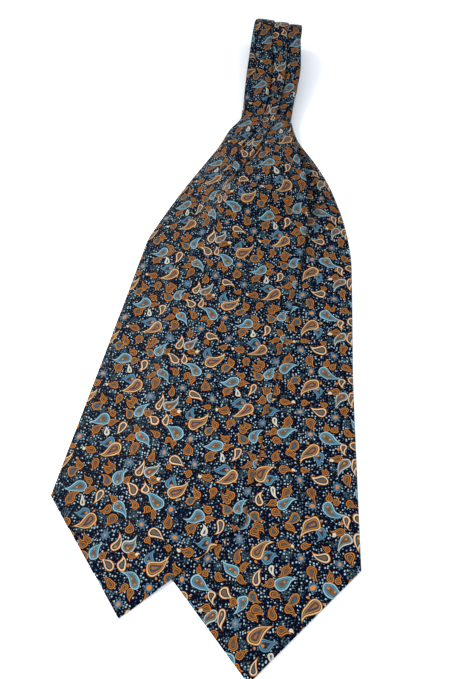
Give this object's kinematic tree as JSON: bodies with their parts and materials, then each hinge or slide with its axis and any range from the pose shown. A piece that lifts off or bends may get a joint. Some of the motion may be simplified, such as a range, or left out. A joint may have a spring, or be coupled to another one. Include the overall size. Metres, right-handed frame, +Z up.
{
  "type": "silk cravat",
  "caption": "Day cravat in printed silk: two broad pointed blades joined by a knife-pleated neckband, folded at the middle of the band and laid down with one blade on the other.",
  "frame": {"origin": "middle of the footprint, on the surface that the cravat lies on", "axes": "+Y from the blades' points towards the fold of the neckband, +X to the right as seen from above with the fold away from the viewer, +Z up"},
  "size_m": [0.2378, 0.6214, 0.0351],
  "materials": {
    "printed_silk": "soft satin twill silk with a dark navy ground and a small paisley print"
  },
  "bodies": {
    "root": {"blade_under": "printed_silk", "blade_upper": "printed_silk", "neckband": "printed_silk"}
  },
  "joints": []
}
